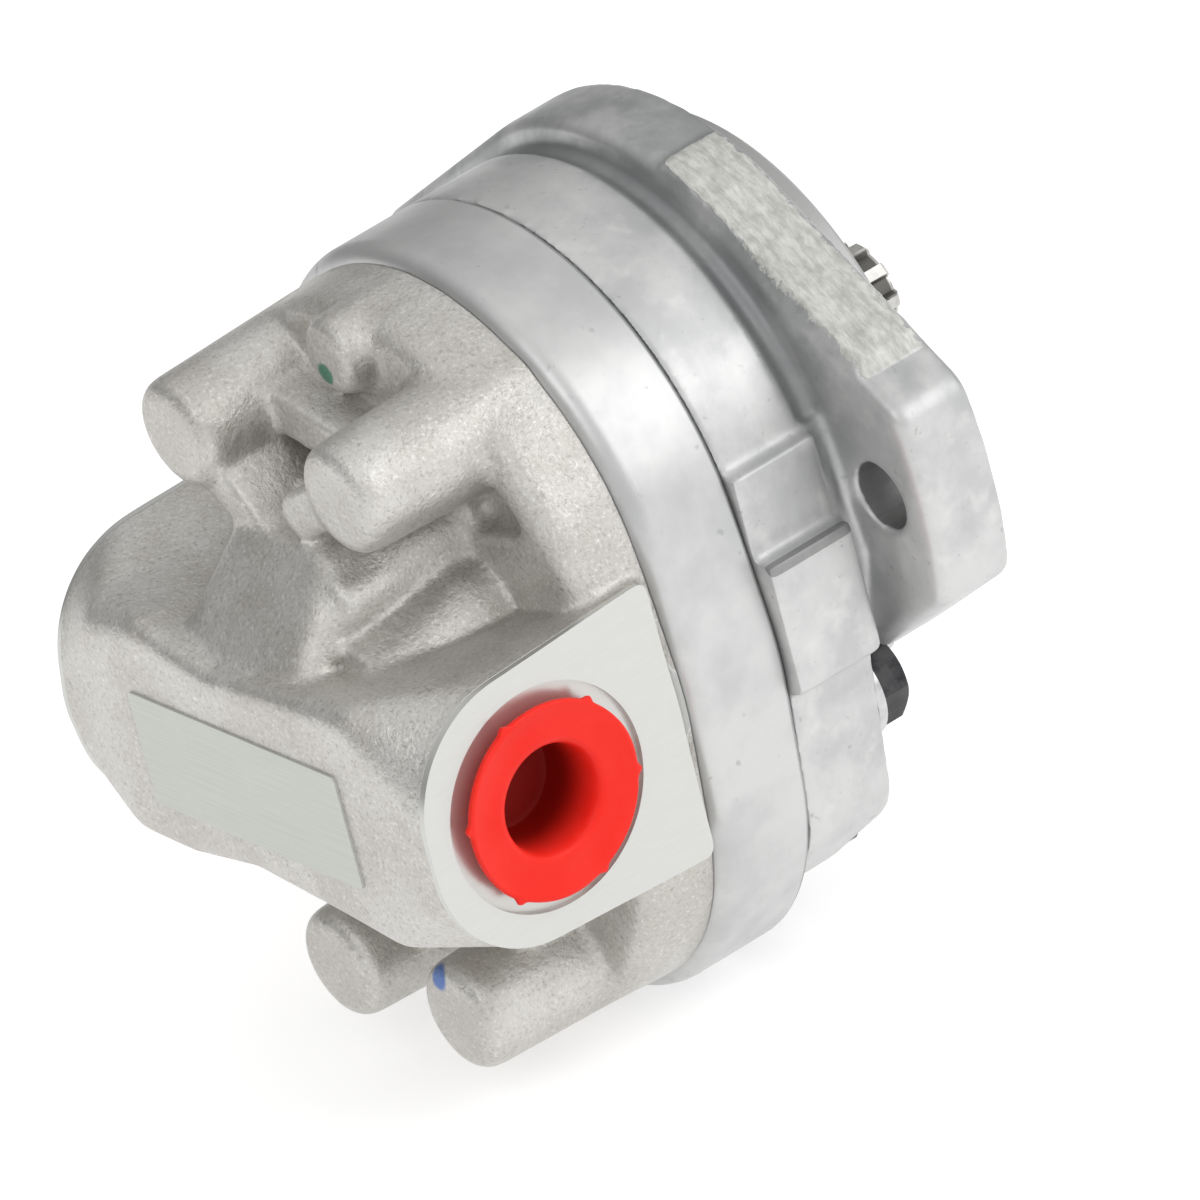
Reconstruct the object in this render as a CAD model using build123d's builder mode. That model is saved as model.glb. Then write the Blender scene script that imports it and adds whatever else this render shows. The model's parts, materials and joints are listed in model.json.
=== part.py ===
from build123d import *
from math import acos, cos, pi, radians, sin, tan
import os

os.makedirs("parts", exist_ok=True)

# A three-section external gear pump.
# Origin: centre of the pilot on the mounting face. +Y is along the drive shaft, +X towards the outlet
# port, +Z from the idler gear to the drive gear. "Depth" is a distance behind the mounting face.

# Gears
tooth_count = 10
module = 3.5
pressure_angle = 25.0
tip_radius = 20.9
root_radius = 13.3
backlash = 0.4
gear_end_clearance = 0.05
thrust_plate_thickness = 2.0
axis_distance = module * tooth_count
mid_z = -axis_distance / 2

# Sections along the shaft
ear_thickness = 13.5
lower_face_depth = 17.0
front_cover_end = 33.0
housing_length = 17.0
rear_cover_length = 49.5
housing_end = front_cover_end + housing_length
rear_face_depth = housing_end + rear_cover_length
gear_start = front_cover_end + thrust_plate_thickness + gear_end_clearance
gear_width = housing_length - 2 * (thrust_plate_thickness + gear_end_clearance)

# Mounting flange: two-bolt, 82.55 mm pilot, 106.38 mm between the bolt holes
pilot_radius = 41.275
pilot_height = 6.35
pilot_chamfer = 0.8
bolt_spacing = 106.38
bolt_hole_radius = 5.55
ear_end_radius = 64.8
ear_corner_radius = 5.0
ear_corner_angle = 12.6
flange_radius = 48.2
flange_front_round = 0.8
flange_rear_round = 2.5
gate_patch_height = 1.1
gate_patch_start = 1.2
gate_patch_length = 11.0
gate_patch_from = 22.0
gate_patch_to = 71.0

# Outlines of the three sections
case_radius = 45.2
case_side_x = 47.4
joint_round = 0.8
housing_shoulder_round = 3.2
block_side_x = 50.0
block_top_z = 11.0
block_low_z = -25.5
block_corner_radius = 2.0
cover_low_radius = 40.6
cover_corner_radius = 11.5
cover_corner_x = 31.5
cover_corner_z = -47.5
pocket_low_z = -3.0
pocket_floor_x = 46.3
rear_inset = 2.2
rear_plate_length = 12.5
rear_plate_taper = 4.0
rear_plate_round = 3.5

# Journals, bushes and bores
journal_radius = 11.0
journal_length = 19.0
journal_chamfer = 0.8
bush_clearance = 0.03
bush_wall = 2.5
bush_length = 18.0
bush_chamfer = 0.4
bush_seat_clearance = 0.01
gear_bore_clearance = 0.12
plate_clearance = 0.05
plate_hole_clearance = 0.3
thrust_play = 0.05
seal_shaft_radius = 10.0
shaft_hole_clearance = 1.0

# Splined end of the drive shaft
spline_teeth = 9
spline_tip_radius = 7.9
spline_root_radius = 6.4
spline_core_radius = 5.6
spline_foot_angle = radians(13.5)
spline_tip_angle = radians(6.5)
spline_length = 22.0
shaft_tip = 28.2
shaft_tip_chamfer = 0.8

# Shaft seal
seal_bore_radius = 16.0
seal_width = 7.0
seal_front_depth = -2.0
seal_case_wall = 1.2
lip_clearance = 0.05
lip_outer_radius = 12.6
lip_wall = 1.4
lip_length = 5.0
garter_wire_radius = 0.8
ring_width = 1.5
ring_groove_depth = 1.0
ring_radial_width = 3.0
ring_gap_width = 12.0

# Screws, washers and dowels: each place is x, z and the depth where the screw ends
boss_screw_reach = 24.0
side_screw_reach = 10.0
boss_screw_end = housing_end + boss_screw_reach
side_screw_end = housing_end + side_screw_reach
upper_screws = [(20.0, 26.5, boss_screw_end), (33.0, 4.0, side_screw_end)]
lower_screws = [(36.0, -36.5, side_screw_end), (15.0, -64.0, boss_screw_end)]
screw_radius = 4.0
screw_hole_radius = 4.4
thread_clearance = 0.05
tapped_hole_extra = 1.5
socket_head_radius = 6.5
socket_head_height = 8.0
socket_across_flats = 6.0
socket_depth = 4.0
socket_head_depth = 1.5
head_pocket_clearance = 0.4
hex_across_flats = 13.0
hex_head_height = 5.5
hex_corner_chamfer = 0.2
hex_corner_slope = 60.0
washer_radius = 8.0
washer_thickness = 1.6
washer_bore_clearance = 0.3
screw_notch_clearance = 1.0
dowel_points = [(0.0, 36.5), (0.0, -71.5)]
dowel_radius = 3.0
dowel_depth_each_side = 8.0
dowel_clearance = 0.01

# Seals between the sections and behind the thrust plates
section_seal_radius = 24.3
section_seal_width = 2.2
section_seal_height = 1.8
section_groove_clearance = 0.15
pressure_seal_radius = 18.6
pressure_seal_width = 2.0
pressure_seal_height = 1.4

# Ports
port_from_rear_face = 21.8
port_depth = rear_face_depth - port_from_rear_face
port_z = -19.3
pad_x = 46.0
outlet_bore_radius = 10.3
outlet_spot_radius = 17.8
inlet_bore_radius = 12.6
inlet_spot_radius = 20.4
spot_depth = 1.0
port_bore_length = 28.0
passage_x = 15.5
passage_radius = 5.0

# Port boss across the rear cover. Each station is its place along X, how far it reaches above and below
# the port axis, its corner radius, its half height at the foot and how far its back stands in front of
# the rear face
boss_foot_step = 2.0
boss_stations = [
    (-pad_x, 23.4, 23.4, 20.0, 23.8, 1.5),
    (-34.0, 21.0, 20.0, 5.5, 21.0, 0.0),
    (-21.0, 21.7, 19.0, 3.2, 15.0, 0.0),
    (-4.0, 18.0, 16.2, 2.2, 9.0, 0.0),
    (16.0, 19.7, 18.2, 2.6, 12.0, 0.0),
    (30.0, 21.3, 20.7, 4.0, 18.5, 0.0),
    (pad_x, 22.0, 22.0, 20.0, 23.8, 0.0),
]

# Saddle that runs from the port boss up to the screw bosses. Each station is its height above the
# plate, its centre height, its half length and its radius
saddle_stations = [(0.0, 7.0, 10.0, 9.5), (20.0, 6.5, 7.5, 7.5), (35.0, -6.3, 13.0, 3.5)]

# Screw bosses, webs, rib and recess of the rear cover
screw_boss_radius = 8.9
screw_boss_length = 34.0
screw_boss_taper = 2.0
screw_boss_round = 2.5
drive_core_radius = 20.0
idler_core_radius = 31.0
core_length = 23.0
core_taper = 5.0
web_feet = [(5.0, 19.0), (-7.0, 12.0)]
web_half_width = 3.8
web_length = 32.5
pit_wall_ends = [(-16.0, 28.0), (5.0, 24.0)]
pit_wall_half_width = 3.6
pit_wall_length = 21.5
rib_point = (12.0, 6.5)
rib_radius = 6.3
rib_length = 34.5
rib_taper = 2.0
knob_radius = 6.5
knob_height = 4.5
knob_round = 2.5
recess_corners = [(24.5, 21.0), (30.0, 15.0), (22.0, 13.5)]
recess_corner_radius = 2.5
recess_depth = 4.0

# Plastic port plugs
plug_flange_margin = 2.3
plug_flange_thickness = 2.4
plug_shank_clearance = 0.3
plug_shank_length = 11.0
plug_wall = 1.4
plug_floor = 1.5
plug_rim_round = 1.0

# Name plate
plate_width = 51.0
plate_height = 19.3
plate_thickness = 0.4
plate_z = -19.9
plate_corner_radius = 0.8

both_sides = (1, -1)


def at_depth(depth):
    """Plane at a depth, with x across and z up; extruding it goes rearwards."""
    return Plane.XZ.offset(depth)


def across(x):
    """Plane at a place along X, with depth across and z up; extruding it goes towards -X."""
    return Plane(origin=(x, 0, 0), x_dir=(0, -1, 0), z_dir=(-1, 0, 0))


gear_axes = [(0, 0), (0, -axis_distance)]
all_screws = upper_screws + lower_screws
boss_screws = [place for place in all_screws if place[2] == boss_screw_end]
side_screws = [place for place in all_screws if place[2] == side_screw_end]
port_sizes = [(1, outlet_bore_radius, outlet_spot_radius), (-1, inlet_bore_radius, inlet_spot_radius)]


def polar(radius, angle):
    """Point at a radius and an angle in radians."""
    return (radius * cos(angle), radius * sin(angle))


def mirrored(places):
    """The x and z of each place on the outlet side and of its twin on the inlet side."""
    return [(side * place[0], place[1]) for place in places for side in both_sides]


def case_outline(inset):
    """Rounded outline round both gear axes, for the builder sketch it is called in."""
    with Locations(*gear_axes):
        Circle(case_radius - inset)
    with Locations((0, mid_z)):
        Circle(case_side_x - inset)
    make_hull()


def cover_outline():
    """Outline of the front cover's body, for the builder sketch it is called in."""
    Circle(case_radius)
    with Locations((0, mid_z)):
        Circle(case_side_x)
    with Locations((0, -axis_distance)):
        Circle(cover_low_radius)
    with Locations((cover_corner_x, cover_corner_z), (-cover_corner_x, cover_corner_z)):
        Circle(cover_corner_radius)
    make_hull()


def loop_ring(radius, width):
    """Oval ring round both gear axes, for the builder sketch it is called in."""
    with Locations(*gear_axes):
        Circle(radius + width / 2)
    make_hull()
    with BuildSketch(mode=Mode.PRIVATE) as inside:
        with Locations(*gear_axes):
            Circle(radius - width / 2)
        make_hull()
    add(inside.sketch, mode=Mode.SUBTRACT)


def eight_ring(radius, width):
    """Figure-of-eight ring round both gear axes, for the builder sketch it is called in."""
    with Locations(*gear_axes):
        Circle(radius + width / 2)
    with Locations(*gear_axes):
        Circle(radius - width / 2, mode=Mode.SUBTRACT)


# Sizes that follow from the ones above
bolt_x = bolt_spacing / 2
ear_corner_centre = ear_end_radius - ear_corner_radius
ear_corner_x = ear_corner_centre * cos(radians(ear_corner_angle))
ear_corner_z = ear_corner_centre * sin(radians(ear_corner_angle))
ear_tangent_z = ear_end_radius * sin(radians(ear_corner_angle))
gear_end = gear_start + gear_width
gear_bore_radius = tip_radius + gear_bore_clearance
bush_inner_radius = journal_radius + bush_clearance
bush_outer_radius = bush_inner_radius + bush_wall
bush_bore_radius = bush_outer_radius + bush_seat_clearance
bush_bore_depth = bush_length + thrust_play
shaft_hole_radius = journal_radius + shaft_hole_clearance
seal_shoulder_depth = seal_front_depth + seal_width
ring_front_depth = seal_front_depth - ring_width
ring_groove_radius = seal_bore_radius + ring_groove_depth
socket_seat_depth = socket_head_depth + socket_head_height
head_pocket_radius = socket_head_radius + head_pocket_clearance
washer_notch_radius = washer_radius + screw_notch_clearance
dowel_start = front_cover_end - dowel_depth_each_side
dowel_end = housing_end + dowel_depth_each_side
section_groove_width = section_seal_width + 2 * section_groove_clearance
pressure_groove_width = pressure_seal_width + 2 * section_groove_clearance
rear_plate_end = housing_end + rear_plate_length
boss_foot_depth = housing_end + boss_foot_step
screw_boss_end = housing_end + screw_boss_length
screw_boss_foot_radius = screw_boss_radius + screw_boss_length * tan(radians(screw_boss_taper))
knob_end_depth = rear_plate_end + knob_height
plate_hole_radius = journal_radius + plate_hole_clearance


# Front cover
with BuildPart() as front_cover:
    with BuildSketch(at_depth(0)) as flange_outline:
        Circle(flange_radius)
        with Locations(*[(sx * ear_corner_x, sz * ear_corner_z) for sx in both_sides for sz in both_sides]):
            Circle(ear_corner_radius)
        make_hull()
        with BuildSketch(mode=Mode.PRIVATE) as ear_ends:
            Circle(ear_end_radius)
            Rectangle(2 * ear_end_radius, 2 * ear_tangent_z, mode=Mode.INTERSECT)
        add(ear_ends.sketch)
    extrude(amount=ear_thickness)
    fillet(faces().sort_by(Axis.Y)[0].edges(), flange_rear_round)
    fillet(faces().sort_by(Axis.Y)[-1].edges(), flange_front_round)

    # Raised gate patch on the flange edge
    with BuildSketch(at_depth(gate_patch_start)):
        add(flange_outline.sketch)
        offset(amount=gate_patch_height)
        with BuildSketch(mode=Mode.PRIVATE) as patch_sector:
            with BuildLine():
                Polyline((0, 0), polar(2 * ear_end_radius, radians(gate_patch_from)),
                         polar(2 * ear_end_radius, radians(gate_patch_to)), close=True)
            make_face()
        add(patch_sector.sketch, mode=Mode.INTERSECT)
    extrude(amount=gate_patch_length)

    # Body behind the flange, with its lower face set back for the lower screw heads
    with BuildSketch(at_depth(lower_face_depth)):
        cover_outline()
        with Locations((0, (block_top_z + block_low_z) / 2)):
            RectangleRounded(2 * block_side_x, block_top_z - block_low_z, block_corner_radius)
    extrude(amount=front_cover_end - lower_face_depth)
    with BuildSketch(at_depth(ear_thickness)):
        cover_outline()
        with BuildSketch(mode=Mode.PRIVATE) as inside_flange:
            Circle(flange_radius)
            with Locations((0, case_radius / 2)):
                Rectangle(2 * block_side_x, case_radius)
        add(inside_flange.sketch, mode=Mode.INTERSECT)
    extrude(amount=lower_face_depth - ear_thickness)

    # Wrench pockets beside the bolt holes
    with BuildSketch(at_depth(ear_thickness)):
        with Locations(*[(side * (pocket_floor_x + block_side_x), (pocket_low_z + block_top_z) / 2)
                         for side in both_sides]):
            Rectangle(2 * block_side_x, block_top_z - pocket_low_z)
    extrude(amount=front_cover_end - ear_thickness, mode=Mode.SUBTRACT)

    # Pilot
    with BuildSketch(at_depth(0)):
        Circle(pilot_radius)
    extrude(amount=-pilot_height)
    chamfer(faces().sort_by(Axis.Y)[-1].edges(), pilot_chamfer)

    # Mounting bolt holes
    with BuildSketch(at_depth(0)):
        with Locations((bolt_x, 0), (-bolt_x, 0)):
            Circle(bolt_hole_radius)
    extrude(amount=ear_thickness, mode=Mode.SUBTRACT)

    # Seal bore, circlip groove and shaft hole
    with BuildSketch(at_depth(-pilot_height)):
        Circle(seal_bore_radius)
    extrude(amount=pilot_height + seal_shoulder_depth, mode=Mode.SUBTRACT)
    with BuildSketch(at_depth(ring_front_depth)):
        Circle(ring_groove_radius)
    extrude(amount=ring_width, mode=Mode.SUBTRACT)
    with BuildSketch(at_depth(seal_shoulder_depth)):
        Circle(shaft_hole_radius)
    extrude(amount=front_cover_end - seal_shoulder_depth, mode=Mode.SUBTRACT)

    # Bush bores
    with BuildSketch(at_depth(front_cover_end)):
        with Locations(*gear_axes):
            Circle(bush_bore_radius)
    extrude(amount=-bush_bore_depth, mode=Mode.SUBTRACT)

    # Screw holes, head pockets inside the pilot and washer notches in the flange
    with BuildSketch(at_depth(-pilot_height)):
        with Locations(*mirrored(all_screws)):
            Circle(screw_hole_radius)
    extrude(amount=pilot_height + front_cover_end, mode=Mode.SUBTRACT)
    with BuildSketch(at_depth(-pilot_height)):
        with Locations(*mirrored(upper_screws)):
            Circle(head_pocket_radius)
    extrude(amount=pilot_height + socket_seat_depth, mode=Mode.SUBTRACT)
    with BuildSketch(at_depth(0)):
        with Locations(*mirrored(lower_screws)):
            Circle(washer_notch_radius)
    extrude(amount=lower_face_depth, mode=Mode.SUBTRACT)

    # Dowel holes and seal grooves in the joint face
    with BuildSketch(at_depth(front_cover_end)):
        with Locations(*dowel_points):
            Circle(dowel_radius + dowel_clearance)
    extrude(amount=-dowel_depth_each_side, mode=Mode.SUBTRACT)
    with BuildSketch(at_depth(front_cover_end)):
        loop_ring(section_seal_radius, section_groove_width)
    extrude(amount=-section_seal_height, mode=Mode.SUBTRACT)
    with BuildSketch(at_depth(front_cover_end)):
        eight_ring(pressure_seal_radius, pressure_groove_width)
    extrude(amount=-pressure_seal_height, mode=Mode.SUBTRACT)
front_cover.part.label = "front_cover"
export_step(front_cover.part, "parts/front_cover.step")


# Gear housing
with BuildPart() as gear_housing:
    with BuildSketch(at_depth(front_cover_end)):
        case_outline(0)
    extrude(amount=housing_length)
    fillet(faces().sort_by(Axis.Y)[0].edges(), housing_shoulder_round)
    fillet(faces().sort_by(Axis.Y)[-1].edges(), joint_round)
    with BuildSketch(at_depth(front_cover_end)):
        with Locations(*gear_axes):
            Circle(gear_bore_radius)
        with Locations((passage_x, mid_z), (-passage_x, mid_z)):
            Circle(passage_radius)
        with Locations(*mirrored(all_screws)):
            Circle(screw_hole_radius)
        with Locations(*dowel_points):
            Circle(dowel_radius + dowel_clearance)
    extrude(amount=housing_length, mode=Mode.SUBTRACT)
gear_housing.part.label = "gear_housing"
export_step(gear_housing.part, "parts/gear_housing.step")


# Rear cover
with BuildPart() as rear_cover:
    # Flange plate against the housing, with a recess beside the rib
    with BuildSketch(at_depth(housing_end)):
        case_outline(rear_inset)
    extrude(amount=rear_plate_length, taper=rear_plate_taper)
    fillet(faces().sort_by(Axis.Y)[0].edges(), rear_plate_round)
    with BuildSketch(at_depth(rear_plate_end)):
        with Locations(*recess_corners):
            Circle(recess_corner_radius)
        make_hull()
    extrude(amount=-recess_depth, mode=Mode.SUBTRACT)

    # Port boss
    for section_x, above, below, corner, foot_half_height, set_back in boss_stations:
        back_depth = rear_face_depth - set_back
        with BuildSketch(across(section_x)):
            with BuildLine():
                upper = Line((boss_foot_depth, port_z + foot_half_height),
                             (back_depth - corner, port_z + above))
                upper_arc = RadiusArc(upper @ 1, (back_depth, port_z + above - corner), corner)
                back = Line(upper_arc @ 1, (back_depth, port_z - below + corner))
                lower_arc = RadiusArc(back @ 1, (back_depth - corner, port_z - below), corner)
                lower = Line(lower_arc @ 1, (boss_foot_depth, port_z - foot_half_height))
                Line(lower @ 1, upper @ 0)
            make_face()
    loft(ruled=True)

    # Saddle
    for height, centre_z, half_length, end_radius in saddle_stations:
        with BuildSketch(at_depth(rear_plate_end + height)):
            with Locations((0, centre_z)):
                SlotCenterToCenter(2 * half_length, 2 * end_radius)
    loft(ruled=True)

    # Core over the bearings
    with BuildSketch(at_depth(housing_end)):
        Circle(drive_core_radius)
        with Locations((0, -axis_distance)):
            Circle(idler_core_radius)
        make_hull()
    extrude(amount=core_length, taper=core_taper)

    # Screw bosses
    with BuildSketch(at_depth(housing_end)):
        with Locations(*mirrored(boss_screws)):
            Circle(screw_boss_foot_radius)
    extrude(amount=screw_boss_length, taper=screw_boss_taper)
    fillet(edges().filter_by(GeomType.CIRCLE).filter_by_position(Axis.Y, -screw_boss_end, -screw_boss_end),
           screw_boss_round)

    # Webs from the upper bosses to the saddle, and the wall that closes the pit between them
    for side, web_foot in zip(both_sides, web_feet):
        with BuildSketch(at_depth(housing_end)):
            with Locations((side * boss_screws[0][0], boss_screws[0][1]), web_foot):
                Circle(web_half_width)
            make_hull()
        extrude(amount=web_length)
    with BuildSketch(at_depth(housing_end)):
        with Locations(*pit_wall_ends):
            Circle(pit_wall_half_width)
        make_hull()
    extrude(amount=pit_wall_length)

    # Rib beside the outlet and boss over the upper dowel
    with BuildSketch(at_depth(housing_end)):
        with Locations(rib_point):
            Circle(rib_radius)
    extrude(amount=rib_length, taper=rib_taper)
    with BuildSketch(at_depth(housing_end)):
        with Locations(dowel_points[0]):
            Circle(knob_radius)
    extrude(amount=knob_end_depth - housing_end)
    fillet(edges().filter_by(GeomType.CIRCLE).filter_by_position(Axis.Y, -knob_end_depth, -knob_end_depth),
           knob_round)

    # Bush bores
    with BuildSketch(at_depth(housing_end)):
        with Locations(*gear_axes):
            Circle(bush_bore_radius)
    extrude(amount=bush_bore_depth, mode=Mode.SUBTRACT)

    # Screw, dowel and seal places in the joint face
    with BuildSketch(at_depth(housing_end)):
        with Locations(*mirrored(boss_screws)):
            Circle(screw_radius + thread_clearance)
    extrude(amount=boss_screw_end + tapped_hole_extra - housing_end, mode=Mode.SUBTRACT)
    with BuildSketch(at_depth(housing_end)):
        with Locations(*mirrored(side_screws)):
            Circle(screw_radius + thread_clearance)
    extrude(amount=side_screw_end + tapped_hole_extra - housing_end, mode=Mode.SUBTRACT)
    with BuildSketch(at_depth(housing_end)):
        with Locations(*dowel_points):
            Circle(dowel_radius + dowel_clearance)
    extrude(amount=dowel_depth_each_side, mode=Mode.SUBTRACT)
    with BuildSketch(at_depth(housing_end)):
        loop_ring(section_seal_radius, section_groove_width)
    extrude(amount=section_seal_height, mode=Mode.SUBTRACT)
    with BuildSketch(at_depth(housing_end)):
        eight_ring(pressure_seal_radius, pressure_groove_width)
    extrude(amount=pressure_seal_height, mode=Mode.SUBTRACT)

    # Ports with their spot faces, and the passages to the gears
    for side, bore_radius, spot_radius in port_sizes:
        with BuildSketch(Plane.YZ.offset(side * pad_x)):
            with Locations((-port_depth, port_z)):
                Circle(bore_radius)
        extrude(amount=-side * port_bore_length, mode=Mode.SUBTRACT)
        with BuildSketch(Plane.YZ.offset(side * pad_x)):
            with Locations((-port_depth, port_z)):
                Circle(spot_radius)
        extrude(amount=-side * spot_depth, mode=Mode.SUBTRACT)
    with BuildSketch(at_depth(housing_end)):
        with Locations((passage_x, mid_z), (-passage_x, mid_z)):
            Circle(passage_radius)
    extrude(amount=port_depth - housing_end, mode=Mode.SUBTRACT)
rear_cover.part.label = "rear_cover"
export_step(rear_cover.part, "parts/rear_cover.step")


# Bushes, pressed into the covers flush with the joint faces
bush_places = [
    ("front_drive_bush", front_cover_end - bush_length, 0),
    ("front_idler_bush", front_cover_end - bush_length, -axis_distance),
    ("rear_drive_bush", housing_end, 0),
    ("rear_idler_bush", housing_end, -axis_distance),
]
for bush_name, bush_start, bush_z in bush_places:
    with BuildPart() as bush:
        with BuildSketch(at_depth(bush_start)):
            with Locations((0, bush_z)):
                Circle(bush_outer_radius)
                Circle(bush_inner_radius, mode=Mode.SUBTRACT)
        extrude(amount=bush_length)
        chamfer(edges().filter_by(GeomType.CIRCLE), bush_chamfer)
    bush.part.label = bush_name
    export_step(bush.part, "parts/" + bush_name + ".step")


# Thrust plates on both sides of the gears
plate_places = [("front_thrust_plate", front_cover_end),
                ("rear_thrust_plate", housing_end - thrust_plate_thickness)]
for plate_name, plate_start in plate_places:
    with BuildPart() as thrust_plate:
        with BuildSketch(at_depth(plate_start)):
            with Locations(*gear_axes):
                Circle(gear_bore_radius - plate_clearance)
            with Locations(*gear_axes):
                Circle(plate_hole_radius, mode=Mode.SUBTRACT)
        extrude(amount=thrust_plate_thickness)
    thrust_plate.part.label = plate_name
    export_step(thrust_plate.part, "parts/" + plate_name + ".step")


# Seals in the joint faces: the outer loop round both bores and the inner one behind each thrust plate
seal_places = [("front", front_cover_end - section_seal_height, front_cover_end - pressure_seal_height),
               ("rear", housing_end, housing_end)]
for end_name, section_start, pressure_start in seal_places:
    with BuildPart() as section_seal:
        with BuildSketch(at_depth(section_start)):
            loop_ring(section_seal_radius, section_seal_width)
        extrude(amount=section_seal_height)
    section_seal.part.label = end_name + "_section_seal"
    export_step(section_seal.part, "parts/" + end_name + "_section_seal.step")
    with BuildPart() as pressure_seal:
        with BuildSketch(at_depth(pressure_start)):
            eight_ring(pressure_seal_radius, pressure_seal_width)
        extrude(amount=pressure_seal_height)
    pressure_seal.part.label = end_name + "_pressure_seal"
    export_step(pressure_seal.part, "parts/" + end_name + "_pressure_seal.step")


# Gears: involute flanks above the base circle, radial flanks below it
pitch_radius = module * tooth_count / 2
base_radius = pitch_radius * cos(radians(pressure_angle))
tooth_pitch_angle = 360 / tooth_count
half_tooth_at_pitch = (pi * module / 2 - backlash / 2) / (2 * pitch_radius)


def involute(angle):
    """Involute function of an angle in radians."""
    return tan(angle) - angle


def half_tooth_angle(radius):
    """Half of the angle that a tooth takes up at a radius, in radians."""
    at_radius = acos(min(1.0, base_radius / radius))
    return half_tooth_at_pitch + involute(radians(pressure_angle)) - involute(at_radius)


flank_steps = 5
flank_length = tip_radius - base_radius
flank_radii = [base_radius + flank_length * step / flank_steps for step in range(flank_steps + 1)]
right_flank = [polar(radius, -half_tooth_angle(radius)) for radius in flank_radii]
left_flank = [polar(radius, half_tooth_angle(radius)) for radius in flank_radii]
inside_root = root_radius - module / 2
foot_angle = half_tooth_angle(base_radius)

with BuildSketch() as gear_tooth:
    with BuildLine():
        Line(polar(inside_root, -foot_angle), right_flank[0])
        Spline(*right_flank)
        ThreePointArc(right_flank[-1], (tip_radius, 0), left_flank[-1])
        Spline(*left_flank)
        Line(left_flank[0], polar(inside_root, foot_angle))
        Line(polar(inside_root, foot_angle), polar(inside_root, -foot_angle))
    make_face()

with BuildSketch() as spline_tooth:
    with BuildLine():
        Polyline(polar(spline_core_radius, -spline_foot_angle), polar(spline_tip_radius, -spline_tip_angle),
                 polar(spline_tip_radius, spline_tip_angle), polar(spline_core_radius, spline_foot_angle),
                 close=True)
    make_face()


# Drive gear and shaft in one piece
journal_start = gear_start - journal_length
journal_end = gear_end + journal_length
with BuildPart() as drive_gear_shaft:
    with BuildSketch(at_depth(gear_start)):
        Circle(root_radius)
        with PolarLocations(0, tooth_count, start_angle=-90):
            add(gear_tooth.sketch)
    extrude(amount=gear_width)
    with BuildSketch(at_depth(seal_shoulder_depth)):
        Circle(journal_radius)
    extrude(amount=journal_end - seal_shoulder_depth)
    chamfer(faces().sort_by(Axis.Y)[0].edges(), journal_chamfer)
    with BuildSketch(at_depth(seal_shoulder_depth)):
        Circle(seal_shaft_radius)
    extrude(amount=spline_length - shaft_tip - seal_shoulder_depth)
    with BuildSketch(at_depth(spline_length - shaft_tip)):
        Circle(spline_root_radius)
        with PolarLocations(0, spline_teeth):
            add(spline_tooth.sketch)
    extrude(amount=-spline_length)
    with BuildSketch(Plane.XY):
        with BuildLine():
            Polyline((spline_tip_radius - shaft_tip_chamfer, shaft_tip), (journal_radius, shaft_tip),
                     (journal_radius, shaft_tip - journal_radius + spline_tip_radius - shaft_tip_chamfer),
                     close=True)
        make_face()
    revolve(axis=Axis.Y, mode=Mode.SUBTRACT)
drive_gear_shaft.part.label = "drive_gear_shaft"
export_step(drive_gear_shaft.part, "parts/drive_gear_shaft.step")


# Idler gear and shaft, its teeth half a pitch on so that they mesh
with BuildPart() as idler_gear_shaft:
    with BuildSketch(at_depth(gear_start)):
        with Locations((0, -axis_distance)):
            Circle(root_radius)
        with Locations((0, -axis_distance)):
            with PolarLocations(0, tooth_count, start_angle=90 + tooth_pitch_angle / 2):
                add(gear_tooth.sketch)
    extrude(amount=gear_width)
    with BuildSketch(at_depth(journal_start)):
        with Locations((0, -axis_distance)):
            Circle(journal_radius)
    extrude(amount=journal_end - journal_start)
    chamfer(faces().sort_by(Axis.Y)[0].edges() + faces().sort_by(Axis.Y)[-1].edges(), journal_chamfer)
idler_gear_shaft.part.label = "idler_gear_shaft"
export_step(idler_gear_shaft.part, "parts/idler_gear_shaft.step")


# Shaft seal: pressed case, rubber lip and garter spring, drawn as depth against radius
case_inner = seal_bore_radius - seal_case_wall
with BuildPart() as shaft_seal_case:
    with BuildSketch(Plane.XY):
        with BuildLine():
            Polyline((seal_bore_radius, -seal_front_depth), (lip_outer_radius, -seal_front_depth),
                     (lip_outer_radius, -seal_front_depth - seal_case_wall),
                     (case_inner, -seal_front_depth - seal_case_wall),
                     (case_inner, -seal_shoulder_depth), (seal_bore_radius, -seal_shoulder_depth),
                     close=True)
        make_face()
    revolve(axis=Axis.Y)
shaft_seal_case.part.label = "shaft_seal_case"
export_step(shaft_seal_case.part, "parts/shaft_seal_case.step")

lip_radius = seal_shaft_radius + lip_clearance
lip_front = -seal_front_depth
with BuildPart() as shaft_seal_lip:
    with BuildSketch(Plane.XY):
        with BuildLine():
            Polyline((lip_outer_radius, lip_front), (lip_outer_radius, lip_front - lip_length),
                     (lip_outer_radius - lip_wall, lip_front - lip_length),
                     (lip_radius, lip_front - lip_length + lip_wall),
                     (lip_outer_radius - lip_wall, lip_front - lip_wall),
                     (lip_radius + lip_wall / 4, lip_front), close=True)
        make_face()
    revolve(axis=Axis.Y)
shaft_seal_lip.part.label = "shaft_seal_lip"
export_step(shaft_seal_lip.part, "parts/shaft_seal_lip.step")

with BuildPart() as garter_spring:
    with BuildSketch(Plane.XY):
        with Locations((lip_outer_radius + garter_wire_radius, lip_front - lip_length + lip_wall)):
            Circle(garter_wire_radius)
    revolve(axis=Axis.Y)
garter_spring.part.label = "garter_spring"
export_step(garter_spring.part, "parts/garter_spring.step")

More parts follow.
